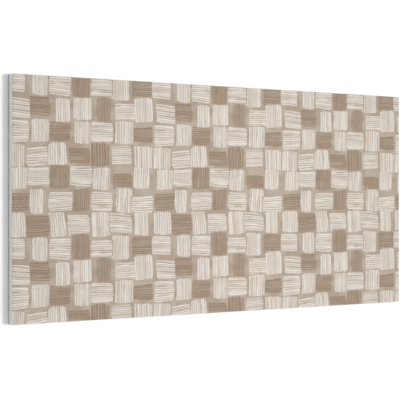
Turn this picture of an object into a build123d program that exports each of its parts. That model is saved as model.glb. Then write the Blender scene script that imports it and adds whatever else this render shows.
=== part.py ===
"""Acoustic felt wall panel: one board of pressed polyester felt, bare back down, printed face up."""

import os

from build123d import *

# The board as it is cut from the sheet: length along X, width along Y, thickness along Z.
board_length = 1200.0
board_width = 600.0
board_thickness = 24.0

# Felt holds no sharp arris: the blade leaves the outline's corners, the rim of the face
# and the rim of the back slightly rounded, and the back least, because it is cut against a bed.
corner_radius = 2.5
face_rim_radius = 1.8
back_rim_radius = 0.8

os.makedirs("parts", exist_ok=True)

# Felt panel: the cut outline on the plane of the back, pressed up to the board's thickness.
with BuildPart() as felt_panel:
    with BuildSketch(Plane.XY) as cut_outline:
        RectangleRounded(board_length, board_width, corner_radius)
    extrude(amount=board_thickness)

    face_rim = felt_panel.faces().sort_by(Axis.Z)[-1].edges()
    fillet(face_rim, face_rim_radius)

    back_rim = felt_panel.faces().sort_by(Axis.Z)[0].edges()
    fillet(back_rim, back_rim_radius)

felt_panel.part.label = "felt_panel"
export_step(felt_panel.part, "parts/felt_panel.step")
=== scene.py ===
# %% [markdown]
# # An acoustic felt wall panel
# The object is one board of pressed polyester felt. Its sides and back are bare, off-white felt, and
# its face carries a hatched basket-weave print in cream and brown. A loose board lies flat, so it is
# built lying on the floor with the print up, and the camera looks down on it.
#
# The lesson has three parts: the stage (camera, floor and light), the board (a grid that becomes a
# soft-edged slab) and the finish (a print that is drawn with shader maths, on top of felt fibres).

# %% The board as it was packed
import math

import bmesh
import bpy
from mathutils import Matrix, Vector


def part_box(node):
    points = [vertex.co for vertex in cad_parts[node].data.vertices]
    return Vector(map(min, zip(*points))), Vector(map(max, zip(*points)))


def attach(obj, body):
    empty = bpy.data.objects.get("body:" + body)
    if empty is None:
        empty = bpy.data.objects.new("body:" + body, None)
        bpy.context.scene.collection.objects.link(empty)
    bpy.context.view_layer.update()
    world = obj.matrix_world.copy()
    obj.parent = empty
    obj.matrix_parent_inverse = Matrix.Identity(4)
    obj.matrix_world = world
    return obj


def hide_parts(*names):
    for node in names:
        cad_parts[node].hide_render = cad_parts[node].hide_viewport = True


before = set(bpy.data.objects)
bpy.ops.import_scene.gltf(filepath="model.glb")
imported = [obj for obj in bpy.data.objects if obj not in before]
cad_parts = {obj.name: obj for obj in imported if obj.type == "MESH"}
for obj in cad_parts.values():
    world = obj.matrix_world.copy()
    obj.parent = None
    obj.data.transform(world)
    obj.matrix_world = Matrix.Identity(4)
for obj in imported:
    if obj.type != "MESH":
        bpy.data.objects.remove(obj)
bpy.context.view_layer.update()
low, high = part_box("felt_panel")
board = high - low
MM = 0.001
print("board, mm:", [round(side / MM, 1) for side in board])

# %% [markdown]
# ## Camera
# The board is seen with its left end nearer and its edges converging to the right. Four corners of a
# rectangle with known proportions give the lens and the turn, so nothing is placed by eye: a 100 mm
# lens, turned about 31 degrees away from square-on, level with the middle of the short edge. The
# camera keeps the board's short edge upright in the picture, which puts its own "up" along +Y.

# %% Camera
LENS_MM = 100.0
TURN = math.radians(30.65)
FROM_FACE_CENTRE = (-1.5633, -0.0018, 2.5045)
face_centre = ((low.x + high.x) / 2, (low.y + high.y) / 2, high.z)
bpy.ops.object.select_all(action="DESELECT")
bpy.ops.object.camera_add(
    location=[middle + away for middle, away in zip(face_centre, FROM_FACE_CENTRE)],
    rotation=(0.0, -TURN, 0.0),
)
camera = bpy.context.object
camera.data.lens = LENS_MM
bpy.context.scene.camera = camera
print("camera at", [round(c, 3) for c in camera.location])

# %% [markdown]
# ## Floor and light
# The floor is plain and near white. Half of the light is an even white sky. The other half comes from
# a wide, soft sun on the right, low enough to throw a short soft shadow off the left edge, and from a
# round lamp above the middle. A sky and a sun alone would light the whole face evenly, but the left
# end is a little darker than the middle, and a lamp near enough to fall off towards the ends does
# that. The Standard view keeps the ink colours as they are mixed.

# %% Floor and light
FLOOR_SIZE = 40.0
FLOOR_DROP = 0.1 * MM
FLOOR_WHITE = 0.90
SKY_LEVEL = 0.70
SUN_LEVEL = 1.68
SUN_TILT = math.radians(40.0)
SUN_WIDTH = math.radians(22.0)
# A sun lights the same from anywhere, so its stand only keeps it clear of the board.
SUN_STAND = (2.0, 0.0, 3.0)
LAMP_LEVEL = 0.33
LAMP_HEIGHT = 1.2
LAMP_PAST_MIDDLE = 0.12
LAMP_SIZE = 0.5
# What a perfectly white, level surface sends back under this sky, sun and lamp.
LIGHT_LEVEL = SKY_LEVEL + SUN_LEVEL * math.cos(SUN_TILT) / math.pi + LAMP_LEVEL

bpy.ops.mesh.primitive_plane_add(size=FLOOR_SIZE, location=(0.0, 0.0, low.z - FLOOR_DROP))
floor = bpy.context.object
floor.name = "floor"
floor_paint = bpy.data.materials.new("floor_white")
floor_paint.use_nodes = True
floor_shader = floor_paint.node_tree.nodes["Principled BSDF"]
floor_shader.inputs["Base Color"].default_value = (FLOOR_WHITE, FLOOR_WHITE, FLOOR_WHITE, 1.0)
floor_shader.inputs["Roughness"].default_value = 1.0
floor_shader.inputs["Specular IOR Level"].default_value = 0.0
floor.data.materials.append(floor_paint)

sky = bpy.data.worlds.new("sky")
sky.use_nodes = True
sky.node_tree.nodes["Background"].inputs["Color"].default_value = (1.0, 1.0, 1.0, 1.0)
sky.node_tree.nodes["Background"].inputs["Strength"].default_value = SKY_LEVEL
bpy.context.scene.world = sky

bpy.ops.object.light_add(type="SUN", location=SUN_STAND, rotation=(0.0, SUN_TILT, 0.0))
sun = bpy.context.object
sun.data.energy = SUN_LEVEL
sun.data.angle = SUN_WIDTH
bpy.ops.object.light_add(type="AREA", location=(
    face_centre[0] + LAMP_PAST_MIDDLE, face_centre[1], face_centre[2] + LAMP_HEIGHT))
lamp = bpy.context.object
lamp.data.shape = "DISK"
lamp.data.size = LAMP_SIZE
lamp.data.energy = LAMP_LEVEL * (math.pi * LAMP_HEIGHT) ** 2
lamp.visible_camera = False
bpy.context.scene.view_settings.view_transform = "Standard"
print("level white reads", round(LIGHT_LEVEL, 3), "and the floor", round(LIGHT_LEVEL * FLOOR_WHITE, 3))

# %% [markdown]
# ## The blank
# Felt board is pressed as a wide sheet and cut to size. A cube would give the same box, but its big
# faces could not take any unevenness, so the blank starts as a grid: the grid is the back, and
# extruding it upwards makes the sides and the face. The print repeats three times along the board,
# and the grid is cut so that each repeat starts on a line of points.

# %% The blank: a grid extruded to the board's thickness
REPEATS = 3
CELLS_PER_REPEAT = 64
columns = REPEATS * CELLS_PER_REPEAT
rows = round(columns * board.y / board.x)
bpy.ops.object.select_all(action="DESELECT")
bpy.ops.mesh.primitive_grid_add(x_subdivisions=columns, y_subdivisions=rows, size=1.0, calc_uvs=False)
felt = bpy.context.object
felt.name = "printed_felt_board"
bpy.ops.object.mode_set(mode="EDIT")
bpy.ops.transform.resize(value=(board.x, board.y, 1.0))
bpy.ops.transform.translate(value=(face_centre[0], face_centre[1], low.z))
bpy.ops.mesh.extrude_region_move(TRANSFORM_OT_translate={"value": (0.0, 0.0, board.z)})
bpy.ops.mesh.select_all(action="SELECT")
bpy.ops.mesh.normals_make_consistent(inside=False)
print("blank:", len(bmesh.from_edit_mesh(felt.data).faces), "faces")

# %% [markdown]
# ## Soft edges
# A blade leaves felt with square corners that the fibres round off by a millimetre or two. Bevels do
# that: first the four upright corners, then the rim of the face, then the tighter rim of the back.
# Each set of edges is picked by where it lies. The edges between two big flats meet at a right
# angle, which tells the rim from the grid lines beside it.

# %% Soft edges: corners, face rim, back rim
CORNER_RADIUS = 2.5 * MM
FACE_RIM_RADIUS = 1.8 * MM
BACK_RIM_RADIUS = 0.8 * MM
NEAR = 0.01 * MM
SHARP = math.radians(60.0)
ROUND = 0.5


def level_with(height):
    """A test for edges that lie at this height and where two faces meet sharply."""
    def test(edge):
        level = all(abs(vert.co.z - height) < NEAR for vert in edge.verts)
        return level and edge.calc_face_angle(0.0) > SHARP
    return test


def upright(edge):
    """True for edges that run straight up the board's sides."""
    first, second = (vert.co for vert in edge.verts)
    return abs(first.z - second.z) > board.z / 2


def upright_corner(edge):
    """True for the upright edges at the four corners."""
    return upright(edge) and edge.calc_face_angle(0.0) > SHARP


def pick_edges(test):
    """Selects the edges that pass the test, and nothing else, and counts them."""
    bpy.ops.mesh.select_mode(type="EDGE")
    bpy.ops.mesh.select_all(action="DESELECT")
    mesh = bmesh.from_edit_mesh(felt.data)
    picked = [edge for edge in mesh.edges if test(edge)]
    for edge in picked:
        edge.select_set(True)
    mesh.select_flush_mode()
    bmesh.update_edit_mesh(felt.data)
    return len(picked)


for name, test, radius, segments in (
    ("corners", upright_corner, CORNER_RADIUS, 4),
    ("face rim", level_with(high.z), FACE_RIM_RADIUS, 4),
    ("back rim", level_with(low.z), BACK_RIM_RADIUS, 2),
):
    count = pick_edges(test)
    bpy.ops.mesh.bevel(
        offset=radius, segments=segments, profile=ROUND, affect="EDGES", clamp_overlap=False)
    print(name, "bevelled along", count, "edges")

# %% [markdown]
# ## Cut sides
# Seen close, the cut side of pressed felt is not a plane: the layers of fibre stand a little proud
# or pull in by a few tenths of a millimetre, and the face is never quite level. Cutting the sides
# into thin bands gives the mesh room for that. Two Displace modifiers then push points inwards only,
# so that the board keeps its cut size: one with broad clouds on the face, one with clouds that are
# stretched along the side.

# %% Bands up the sides, and the parts that take relief
SIDE_CUTS = 11
count = pick_edges(upright)
bpy.ops.mesh.subdivide(number_cuts=SIDE_CUTS)
bpy.ops.object.mode_set(mode="OBJECT")
print(count, "upright edges cut into", SIDE_CUTS + 1, "bands:", len(felt.data.polygons), "faces")

face_points = [v.index for v in felt.data.vertices if v.co.z > high.z - NEAR]
side_points = [v.index for v in felt.data.vertices if low.z + BACK_RIM_RADIUS < v.co.z < high.z - NEAR]
felt.vertex_groups.new(name="face").add(face_points, 1.0, "REPLACE")
felt.vertex_groups.new(name="sides").add(side_points, 1.0, "REPLACE")
print("points on the face:", len(face_points), "and on the sides:", len(side_points))

# %% Relief of the pressed face and of the cut sides
FACE_RELIEF = 0.30 * MM
FACE_CLOUD = 26.0 * MM
SIDE_RELIEF = 0.55 * MM
SIDE_CLOUD = 1.0
SIDE_CLOUD_LENGTH = 30.0 * MM
SIDE_CLOUD_HEIGHT = 4.5 * MM
CLOUD_DEPTH = 2
SMOOTH_UNDER = math.radians(40.0)


def relief(group, depth, cloud_size, axis, stretch=None):
    """Pushes a group of points inwards by up to depth, in clouds, which an empty may stretch."""
    clouds = bpy.data.textures.new(f"{group}_clouds", type="CLOUDS")
    clouds.noise_scale = cloud_size
    clouds.noise_depth = CLOUD_DEPTH
    push = felt.modifiers.new(f"{group}_relief", type="DISPLACE")
    push.texture = clouds
    push.vertex_group = group
    push.direction = axis
    push.mid_level = 1.0
    push.strength = depth
    if stretch:
        push.texture_coords = "OBJECT"
        push.texture_coords_object = stretch
    bpy.context.view_layer.objects.active = felt
    bpy.ops.object.modifier_apply(modifier=push.name)


bpy.ops.object.empty_add(location=(0.0, 0.0, 0.0))
stretcher = bpy.context.object
stretcher.scale = (SIDE_CLOUD_LENGTH, SIDE_CLOUD_LENGTH, SIDE_CLOUD_HEIGHT)
bpy.context.view_layer.update()
relief("face", FACE_RELIEF, FACE_CLOUD, "Z")
relief("sides", SIDE_RELIEF, SIDE_CLOUD, "NORMAL", stretcher)
bpy.data.objects.remove(stretcher)

bpy.ops.object.select_all(action="DESELECT")
felt.select_set(True)
bpy.context.view_layer.objects.active = felt
bpy.ops.object.shade_smooth_by_angle(angle=SMOOTH_UNDER)
heights = [v.co.z for v in felt.data.vertices]
felt.data.calc_loop_triangles()
print("face between", round(min(h for h in heights if h > high.z - MM) / MM, 2), "and",
      round(max(heights) / MM, 2), "mm;", len(felt.data.loop_triangles), "triangles")

# %% [markdown]
# ## A map for the repeats
# A printed felt repeats its drawing, here every third of the board's length. The finish is worked out
# from object coordinates and needs no map, but a map lets the finish be baked sharply: along the
# board it runs from -1 to 2, so that all three repeats share the same pixels. The middle repeat lies
# on the map itself, because it has no rim at its ends. Face, back and the four sides each have a
# band of their own.

# %% A map with three repeats
TILE = board.x / REPEATS
middle_start = low.x + TILE
FLAT_ENOUGH = 0.7
BANDS = {"face": (0.400, 0.995), "back": (0.110, 0.385),
         "south": (0.004, 0.024), "north": (0.030, 0.050), "west": (0.056, 0.076), "east": (0.082, 0.102)}


def band_of(normal):
    """Which part of the board a face belongs to, by the way it looks."""
    if abs(normal.z) > FLAT_ENOUGH:
        return "face" if normal.z > 0.0 else "back"
    if abs(normal.y) > abs(normal.x):
        return "north" if normal.y > 0.0 else "south"
    return "east" if normal.x > 0.0 else "west"


def place_on_map(point, band):
    """A point's place on the map: along the board in repeats, and across its band."""
    bottom, top = BANDS[band]
    share = (point.y - low.y) / board.y if band in ("face", "back") else (point.z - low.z) / board.z
    along = (point.y - low.y) / board.y if band in ("west", "east") else (point.x - middle_start) / TILE
    return along, bottom + (top - bottom) * share


repeat_map = felt.data.uv_layers.new(name="OFBake")
for polygon in felt.data.polygons:
    band = band_of(polygon.normal)
    for corner in polygon.loop_indices:
        point = felt.data.vertices[felt.data.loops[corner].vertex_index].co
        repeat_map.uv[corner].vector = place_on_map(point, band)
print("map bands:", ", ".join(BANDS))

# %% [markdown]
# ## Shader maths in plain Python
# The print is a formula, and a formula is hard to read as a web of nodes. A small class wraps one
# socket, so that ordinary arithmetic on it adds the Math nodes. Every other node comes from one
# method, which sets a node's options first and its inputs after that.

# %% Values that add nodes


class Value:
    """One number that varies over the felt. Arithmetic on it adds Math nodes to its finish."""

    def __init__(self, finish, socket):
        self.finish = finish
        self.socket = socket

    def maths(self, operation, *terms):
        return self.finish.maths(operation, self, *terms)

    def __add__(self, other):
        return self.maths("ADD", other)

    def __sub__(self, other):
        return self.maths("SUBTRACT", other)

    def __rsub__(self, other):
        return self.finish.maths("SUBTRACT", other, self)

    def __mul__(self, other):
        return self.maths("MULTIPLY", other)

    def __truediv__(self, other):
        return self.maths("DIVIDE", other)

    def __mod__(self, other):
        return self.maths("FLOORED_MODULO", other)

    def __pow__(self, other):
        return self.maths("POWER", other)

    def __lt__(self, other):
        return self.maths("LESS_THAN", other)

    def __gt__(self, other):
        return self.maths("GREATER_THAN", other)

    def __abs__(self):
        return self.maths("ABSOLUTE")

    __radd__ = __add__
    __rmul__ = __mul__


class Finish:
    """A material whose nodes are added by expressions."""

    def __init__(self, name):
        self.material = bpy.data.materials.new(name)
        self.material.use_nodes = True
        self.tree = self.material.node_tree
        self.shader = self.tree.nodes["Principled BSDF"]

    def fill(self, socket, content):
        """Links a value to a socket, or sets a plain number or colour on it."""
        if isinstance(content, Value):
            self.tree.links.new(content.socket, socket)
        else:
            socket.default_value = content

    def node(self, kind, settings, inputs, output=0):
        """Adds a node, sets its options, fills its inputs and gives one of its outputs."""
        node = self.tree.nodes.new(kind)
        for option, choice in settings.items():
            setattr(node, option, choice)
        for key, content in inputs.items():
            self.fill(node.inputs[key], content)
        return Value(self, node.outputs[output])

    def maths(self, operation, *terms):
        return self.node("ShaderNodeMath", {"operation": operation}, dict(enumerate(terms)))


ink_felt = Finish("printed_felt")
print("finish:", ink_felt.material.name)

# %% [markdown]
# ## A few words for the drawing
# The print needs a small vocabulary: a soft step, a mix of two colours, three random numbers for a
# cell, and noise that closes on itself. Noise repeats without a seam if its coordinates walk round
# a circle whose rim is one repeat long. Two directions need two circles, which is what
# four-dimensional noise is for.

# %% Steps, mixes, chance and seamless noise
place = ink_felt.node("ShaderNodeTexCoord", {}, {}, "Object")
place_x, place_y, place_z = (ink_felt.node("ShaderNodeSeparateXYZ", {}, {0: place}, axis) for axis in "XYZ")


def vector(x, y, z):
    return ink_felt.node("ShaderNodeCombineXYZ", {}, {0: x, 1: y, 2: z})


def soft_step(value, start, end):
    """0 before start, 1 after end, and an even curve between them."""
    steps = {"Value": value, "From Min": start, "From Max": end}
    return ink_felt.node("ShaderNodeMapRange", {"interpolation_type": "SMOOTHSTEP"}, steps)


def mix(amount, below, above, way="MIX"):
    """Two colours mixed: all below at 0, all above at 1."""
    factor, colour_a, colour_b, colour_out = 0, 6, 7, 2
    inputs = {factor: amount, colour_a: below, colour_b: above}
    return ink_felt.node("ShaderNodeMix", {"data_type": "RGBA", "blend_type": way}, inputs, colour_out)


def either_side(share):
    """A share from 0 to 1, counted from its middle."""
    return share - 0.5


def channels(colour):
    """The three parts of a colour, as three values."""
    parts = ("Red", "Green", "Blue")
    return [ink_felt.node("ShaderNodeSeparateColor", {}, {0: colour}, part) for part in parts]


def chances(column, row, draw):
    """Three random numbers that belong to one cell of the print and one draw."""
    lot = ink_felt.node("ShaderNodeTexWhiteNoise", {"noise_dimensions": "3D"},
                        {"Vector": vector(column, row, draw)}, "Color")
    return channels(lot)


RING = TILE / math.tau
ring_x = [(place_x / RING).maths(wave) * RING for wave in ("COSINE", "SINE")]
ring_y = [(place_y / RING).maths(wave) * RING for wave in ("COSINE", "SINE")]


def print_noise(wave_x, wave_y, output="Fac"):
    """Noise with a length of its own along and across the board, which repeats with the print."""
    from_x = [side / wave_x for side in ring_x]
    from_y = [side / wave_y for side in ring_y]
    inputs = {"Vector": vector(from_x[0], from_x[1], from_y[0]), "W": from_y[1], "Scale": 1.0, "Detail": 0.0}
    return ink_felt.node("ShaderNodeTexNoise", {"noise_dimensions": "4D"}, inputs, output)


def felt_noise(wavelength, detail, flatten=1.0):
    """Noise in the felt itself, which repeats along the board only. flatten presses it into layers."""
    inputs = {"Vector": vector(ring_x[0], ring_x[1], place_y), "W": place_z * flatten,
              "Scale": 1.0 / wavelength, "Detail": detail}
    return ink_felt.node("ShaderNodeTexNoise", {"noise_dimensions": "4D"}, inputs)


def ink(red, green, blue):
    """A colour as it reads on a lit face, turned into what the felt has to reflect."""
    shades = [shade / 255 for shade in (red, green, blue)]
    linear = [s / 12.92 if s <= 0.04045 else ((s + 0.055) / 1.055) ** 2.4 for s in shades]
    return (*[part / LIGHT_LEVEL for part in linear], 1.0)


print("seamless noise on rings of radius", round(RING / MM, 1), "mm")

# %% [markdown]
# ## Felt fibres
# Pressed felt is a mat of crimped fibres that lie flat in the board, in every direction. Noise that
# is stretched a long way in one direction reads as straight hairs, and bending its coordinates with a
# slower noise crimps them. Four such layers at different angles, with the highest hair on top, make a
# mat. The hairs lift the surface, and they also fray the edges of the ink, because ink follows a
# fibre a little way before it stops.

# %% Felt fibres
HAIR_LENGTH = 6.0 * MM
HAIR_THICKNESS = 0.34 * MM
CRIMP = 2.8 * MM
CRIMP_WAVE = 5.0 * MM
HAIR_STARTS = 0.50
HAIR_FULL = 0.74
HAIR_TURNS = (0.4, 1.2, 2.0, 2.8)
LUMP_WAVE = 16.0 * MM


def hairs(turn, bend):
    """Hairs that run in one direction across the board, crimped by a bend."""
    along = place_x * math.cos(turn) + place_y * math.sin(turn)
    across = place_y * math.cos(turn) - place_x * math.sin(turn) + either_side(bend) * CRIMP
    stretched = vector(along / HAIR_LENGTH, across / HAIR_THICKNESS, place_z / HAIR_THICKNESS)
    streaks = ink_felt.node("ShaderNodeTexNoise", {}, {"Vector": stretched, "Scale": 1.0, "Detail": 0.0})
    return soft_step(streaks, HAIR_STARTS, HAIR_FULL)


crimps = channels(ink_felt.node("ShaderNodeTexNoise", {}, {
    "Vector": place, "Scale": 1.0 / CRIMP_WAVE, "Detail": 1.0}, "Color"))
mat, *other_hairs = [hairs(turn, bend) for turn, bend in zip(HAIR_TURNS, [*crimps, 1.0 - crimps[0]])]
for hair in other_hairs:
    mat = mat.maths("MAXIMUM", hair)
lumps = felt_noise(LUMP_WAVE, detail=1.0)
print("hairs of", round(HAIR_THICKNESS / MM, 2), "mm in", len(HAIR_TURNS), "directions")

# %% [markdown]
# ## The weave of the print
# The print is a loose basket weave: blocks hatched along the board alternate with blocks hatched
# across it. One repeat holds seven by seven cells. A hand-drawn weave is never quite regular, so each
# row slides along by an amount of its own, slow noise bends rows and columns a little, and a few
# cells change direction by chance. Seven is odd, so the alternation also trips at each repeat. The
# board is cut out of a wider sheet, so its edges run through cells and not between them.

# %% The weave: rows, cells and their direction
CELLS = 7
PITCH = TILE / CELLS
HALF_CELL = 0.5
CUT_ALONG = 0.30
CUT_ACROSS = 0.35
DRIFT_WAVE = 130.0 * MM
DRIFT = 0.28
ROW_SLIDE = 0.20
FRAY = 0.45 * MM
CHANGE_SHARE = 0.05
ROW_DRAW = 5.0
DIRECTION_DRAW = 11.0
drift = channels(print_noise(DRIFT_WAVE, DRIFT_WAVE, "Color"))
fray = either_side(mat) * FRAY
drawn_x = (place_x - low.x + fray) / PITCH + CUT_ALONG + either_side(drift[0]) * DRIFT
drawn_y = (place_y - low.y + fray) / PITCH + CUT_ACROSS + either_side(drift[1]) * DRIFT


def slid_x(row):
    """The place along the board, in cells, as a row counts it after it has slid."""
    return drawn_x + either_side(chances(0.0, row % CELLS, ROW_DRAW)[0]) * ROW_SLIDE


def hatched_along(column, row):
    """1 where a cell is hatched along the board, 0 where it is hatched across."""
    turn = (column + row) % 2.0
    change = chances(column, row, DIRECTION_DRAW)[0] < CHANGE_SHARE
    return abs(turn - change)


def nearer_side(cells):
    """The way to the nearer neighbour: 1 in the second half of a cell, -1 in the first."""
    return (cells % 1.0 > HALF_CELL) * 2.0 - 1.0


row_here = drawn_y.maths("FLOOR")
row_x = slid_x(row_here)
column_here = row_x.maths("FLOOR")
here_along = hatched_along(column_here % CELLS, row_here % CELLS)
nearer_x = nearer_side(row_x)
nearer_y = nearer_side(drawn_y)
print("cells of", round(PITCH / MM, 1), "mm,", CELLS, "to a repeat")

# %% [markdown]
# ## One hatched block
# Each block is a bundle of five to eleven strokes. Its size, slip, lean and taper are drawn by lot
# for the cell, and its sides bulge a little, as a bundle drawn by hand does. Across the block a phase
# counts the strokes: its whole part is the stroke's number, and its fraction is the place within the
# stroke. Each stroke ends where its own lot says, so the block's ends are ragged. The outer strokes
# are shorter, which rounds its corners, and so are those that meet a block hatched the same way.
# Between two strokes lies a gap that thickens and thins along the way and shows the ground, a taupe
# that drifts slowly between two shades.

# %% The lots of a block
# A block's size and its ends, as shares of a cell.
HALF_LENGTH = 0.535
REACH = 0.06
PUSH = 0.12
HALF_WIDTH = 0.45
SLIMMER = 0.13
RAGGED = 0.045
CROWDING = 0.03
ROUNDING = 0.05
SOFT_END = 0.007
OUTLINE = 0.025
# How far its form departs from a plain rectangle.
LEAN = 0.07
TAPER = 0.16
BULGE = 0.12
SLIM_POWER = 2.0
CORNER_POWER = 4.0
# Its strokes, and the gaps between them as shares of a stroke.
STROKES_PER_CELL = 9.0
STROKE_CHOICES = 3.0
WOBBLE = 0.85
GAP_THIN = 0.07
GAP_THICK = 0.40
SOFT_EDGE = 0.05
# The noise that bends the strokes, and the noise that thins and thickens the gaps.
STROKE_WAVE = 50.0 * MM
BUNDLE_WAVE = 12.0 * MM
GAP_LENGTH = 34.0 * MM
GAP_WAVE = 6.0 * MM
THIN_BELOW = 0.25
THICK_ABOVE = 0.60
# Each set of lots has a number of its own, so that no two sets are alike.
SIZE_DRAW = 23.0
FORM_DRAW = 37.0
INK_DRAW = 53.0
SHADE_DRAW = 71.0
END_DRAW = 89.0
GAP_DRAW = 97.0
slimmest, widest = 2.0 * (HALF_WIDTH - SLIMMER), 2.0 * HALF_WIDTH
print("blocks of", math.floor(slimmest * STROKES_PER_CELL), "to",
      math.floor(widest * STROKES_PER_CELL + STROKE_CHOICES), "strokes")

# %% The inks
CREAM_BRIGHT = ink(238, 231, 222)
CREAM_DULL = ink(217, 208, 198)
BROWN_SOFT = ink(165, 143, 122)
BROWN_DEEP = ink(155, 133, 112)
GROUND_PALE = ink(192, 178, 163)
GROUND_DEEP = ink(179, 163, 146)
GROUND_WAVE = 24.0 * MM
DEEP_BELOW = 0.35
PALE_ABOVE = 0.65
# How far the ground shows in a gap, and how much of that is left in a brown block.
ALONG_GAPS = 0.85
ACROSS_GAPS = 0.70
BROWN_GAPS = 0.82
BROWN_CELLS_IN_SEVEN = 2
BROWN_ALONG = 2.0
BROWN_ACROSS = 3.0
BROWN_KEPT = 0.775
BROWN_STRAYS = 0.05


def is_brown(column, row, lot):
    """Two cells in seven are brown, a knight's move apart, and then chance changes a few."""
    turn = (column * BROWN_ALONG + row * BROWN_ACROSS) % CELLS
    # The half keeps a comparison of whole numbers safe from rounding.
    in_turn = turn < BROWN_CELLS_IN_SEVEN - 0.5
    return lot < BROWN_STRAYS + in_turn * (BROWN_KEPT - BROWN_STRAYS)


ground_drift = soft_step(print_noise(GROUND_WAVE, GROUND_WAVE), DEEP_BELOW, PALE_ABOVE)
ground = mix(ground_drift, GROUND_DEEP, GROUND_PALE)
print("of red light, bright cream reflects", round(CREAM_BRIGHT[0], 2),
      "and deep brown", round(BROWN_DEEP[0], 2))

# %% One hatched block


def hatched_block(column, row, along, across, crowded, gap_depth, wobble, thinning):
    """What a block covers and keeps clear, its colour and its rank, at a place from its cell's middle."""
    girth, slip, push = chances(column, row, SIZE_DRAW)
    lean, taper, count = chances(column, row, FORM_DRAW)
    tone, rank, reach = chances(column, row, INK_DRAW)
    half_width = HALF_WIDTH - SLIMMER * girth ** SLIM_POWER
    half_length = HALF_LENGTH + either_side(reach) * REACH
    along = along - either_side(push) * PUSH
    across = across - either_side(slip) * 2.0 * (HALF_CELL - half_width) - either_side(lean) * LEAN * along
    width_here = half_width * (1.0 + either_side(taper) * TAPER * along - BULGE * along * along)
    spread = across / width_here
    strokes = (half_width * 2.0 * STROKES_PER_CELL + count * STROKE_CHOICES).maths("FLOOR")
    phase = (spread + 1.0) * 0.5 * strokes + either_side(wobble) * WOBBLE
    stroke = phase.maths("FLOOR")
    within = phase % 1.0

    block_number = column + row * CELLS
    shade = chances(block_number, stroke, SHADE_DRAW)[0]
    left_end, right_end, _ = chances(block_number, stroke, END_DRAW)
    ragged = left_end + (along > 0.0) * (right_end - left_end)
    rounded = abs(spread) ** CORNER_POWER
    stroke_reach = half_length - crowded * CROWDING - ragged * RAGGED - rounded * ROUNDING
    covers_along = 1.0 - soft_step(abs(along) - stroke_reach, -SOFT_END, SOFT_END)
    covers_across = (phase > 0.0) * (phase < strokes)
    clear = (abs(along) < half_length + OUTLINE) * (abs(across) < width_here + OUTLINE)

    gap_lot = chances(block_number, (phase + 0.5).maths("FLOOR"), GAP_DRAW)[0]
    gap_here = GAP_THIN + (GAP_THICK - GAP_THIN) * gap_lot * soft_step(thinning, THIN_BELOW, THICK_ABOVE)
    gap = 1.0 - soft_step(within.maths("MINIMUM", 1.0 - within) - gap_here, -SOFT_EDGE, SOFT_EDGE)
    cream_stroke = mix(shade, CREAM_DULL, CREAM_BRIGHT)
    brown_stroke = mix(shade, BROWN_DEEP, BROWN_SOFT)
    brown = is_brown(column, row, tone)
    depth = gap_depth * (1.0 - brown * (1.0 - BROWN_GAPS))
    colour = mix(gap * depth, mix(brown, cream_stroke, brown_stroke), ground)
    return covers_along * covers_across, clear, colour, rank


print("stroke ends are ragged by up to", round(RAGGED * PITCH / MM, 1), "mm")

# %% [markdown]
# ## Two layers of blocks
# A block hatched along the board may stick out of its cell to the left and right, and one hatched
# across may stick out above and below. So each place can belong to two blocks: the along-block of
# its own cell or of the nearer cell beside it, and the across-block of its own cell or of the nearer
# row above or below. Where both cover a place, the one with the higher rank lies on top, and a thin
# line of ground round it keeps the two apart. A place is crowded where the next cell along its
# strokes is hatched the same way.

# %% Two layers of blocks
along_column = column_here + (1.0 - here_along) * nearer_x
across_row = row_here + here_along * nearer_y
column_beside = column_here + nearer_x
row_beyond = row_here + nearer_y
column_beyond = slid_x(row_beyond).maths("FLOOR")
along_crowded = here_along * hatched_along(column_beside % CELLS, row_here % CELLS)
across_crowded = (1.0 - here_along) * (1.0 - hatched_along(column_beyond % CELLS, row_beyond % CELLS))
across_x = slid_x(across_row)
across_column = across_x.maths("FLOOR")
along_cell = (along_column % CELLS, row_here % CELLS)
across_cell = (across_column % CELLS, across_row % CELLS)
along_cover, along_clear, along_colour, along_rank = hatched_block(
    *along_cell, row_x - along_column - HALF_CELL, drawn_y - row_here - HALF_CELL,
    along_crowded, ALONG_GAPS, print_noise(STROKE_WAVE, BUNDLE_WAVE), print_noise(GAP_LENGTH, GAP_WAVE))
across_cover, across_clear, across_colour, across_rank = hatched_block(
    *across_cell, drawn_y - across_row - HALF_CELL, across_x - across_column - HALF_CELL,
    across_crowded, ACROSS_GAPS, print_noise(BUNDLE_WAVE, STROKE_WAVE), print_noise(GAP_WAVE, GAP_LENGTH))
is_along = hatched_along(*along_cell)
is_across = 1.0 - hatched_along(*across_cell)
along_on_top = along_rank > across_rank
shown_along = along_cover * is_along * (1.0 - across_clear * is_across * (1.0 - along_on_top))
shown_across = across_cover * is_across * (1.0 - along_clear * is_along * along_on_top)
print_colour = mix(shown_across, mix(shown_along, ground, along_colour), across_colour)
print("nodes in the print:", len(ink_felt.tree.nodes))
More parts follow.
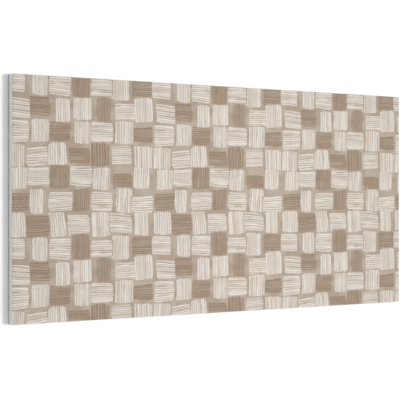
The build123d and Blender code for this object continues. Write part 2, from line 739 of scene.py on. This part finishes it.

# %% [markdown]
# ## Bare felt
# The sides and the back show the felt itself: off-white, with the layers of the pressing as faint
# lines along the cut. The sides are painted darker towards the back edge, a painted contact shadow
# that draws a thin dark line along the back edge. The back has the small pits that needling leaves,
# painted a little darker as painted shade in the hollows. The ink stops on the round of the face's
# rim, where it thins out over the fibres.

# %% Bare felt and the edge of the ink
FELT_WHITE = (0.70, 0.695, 0.685, 1.0)
FELT_SHADE = (0.57, 0.565, 0.555, 1.0)
# The next three values paint a contact shadow: a dark grey on the sides, fading out a few millimetres above
# the back edge.
FELT_PAINTED_CONTACT_SHADE = (0.23, 0.225, 0.22, 1.0)
PAINTED_SHADE_HEIGHT = 9.5 * MM
PAINTED_SHADE_FRAY = 3.0 * MM
LAYER_LENGTH = 22.0 * MM
LAYER_PRESSING = 9.0
SHADE_BELOW = 0.30
WHITE_ABOVE = 0.62
NEEDLE_PITCH = 3.5 * MM
NEEDLE_SCATTER = 0.7
# How far the needle pits are painted towards the darker felt: painted shade in the hollows.
PIT_PAINTED_SHADE = 0.7
PIT_FLOOR = 0.10
PIT_RIM = 0.34
INK_FRAY = 1.0 * MM
INK_ENDS = high.z - 1.25 * MM
INK_FULL = high.z - 0.75 * MM
layers = felt_noise(LAYER_LENGTH, detail=3.0, flatten=LAYER_PRESSING)
layered_colour = mix(soft_step(layers, SHADE_BELOW, WHITE_ABOVE), FELT_SHADE, FELT_WHITE)
# Painted contact shadow: the side colour darkens towards the back edge.
painted_contact_shade = 1.0 - soft_step(place_z + either_side(layers) * PAINTED_SHADE_FRAY, low.z, low.z + PAINTED_SHADE_HEIGHT)
side_colour = mix(painted_contact_shade, layered_colour, FELT_PAINTED_CONTACT_SHADE)
from_needle = ink_felt.node("ShaderNodeTexVoronoi", {}, {
    "Vector": place, "Scale": 1.0 / NEEDLE_PITCH, "Randomness": NEEDLE_SCATTER}, "Distance")
pits = 1.0 - soft_step(from_needle, PIT_FLOOR, PIT_RIM)
# Painted shade: the needle pits on the back are darkened in colour, besides their bump.
back_colour = mix(pits * PIT_PAINTED_SHADE, FELT_WHITE, FELT_SHADE)
on_back = place_z < low.z + BACK_RIM_RADIUS / 2
bare_colour = mix(on_back, side_colour, back_colour)
inked = soft_step(place_z + either_side(mat) * INK_FRAY, INK_ENDS, INK_FULL)
clean_colour = mix(inked, bare_colour, print_colour)
print("ink ends", round((high.z - INK_ENDS) / MM, 2), "mm down the rim")

# %% [markdown]
# ## The surface
# Fibres that lie on top catch a little more light than the hollows between them, so the same fibres
# shade the colour and lift the bump. Felt has no shine: it is rough everywhere, with a faint sheen
# from the fibre ends.

# %% The surface: shading, bump and roughness
FIBRE_SHADE = 0.18
LUMP_SHADE = 0.12
ROUGHEST = 0.97
FIBRE_GLOSS = 0.08
LUMP_LIFT = 2.0
LAYER_LIFT = 2.0
BUMP_STRENGTH = 0.6
BUMP_HEIGHT = 0.15 * MM
SPECULAR = 0.15
SHEEN = 0.06
SHEEN_ROUGHNESS = 0.6
fibre_light = 1.0 + either_side(mat) * FIBRE_SHADE + either_side(lumps) * LUMP_SHADE
ink_felt.fill(ink_felt.shader.inputs["Base Color"], mix(1.0, clean_colour, fibre_light, "MULTIPLY"))
ink_felt.fill(ink_felt.shader.inputs["Roughness"], ROUGHEST - mat * FIBRE_GLOSS)
relief_height = mat + lumps * LUMP_LIFT + (1.0 - inked) * (layers - on_back * pits) * LAYER_LIFT
bump_inputs = {"Strength": BUMP_STRENGTH, "Distance": BUMP_HEIGHT, "Height": relief_height}
ink_felt.fill(ink_felt.shader.inputs["Normal"], ink_felt.node("ShaderNodeBump", {}, bump_inputs))
ink_felt.shader.inputs["Specular IOR Level"].default_value = SPECULAR
ink_felt.shader.inputs["Sheen Weight"].default_value = SHEEN
ink_felt.shader.inputs["Sheen Roughness"].default_value = SHEEN_ROUGHNESS
felt.data.materials.append(ink_felt.material)
print("nodes in the finish:", len(ink_felt.tree.nodes))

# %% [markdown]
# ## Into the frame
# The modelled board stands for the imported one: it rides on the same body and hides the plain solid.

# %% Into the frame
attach(felt, "root")
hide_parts("felt_panel")
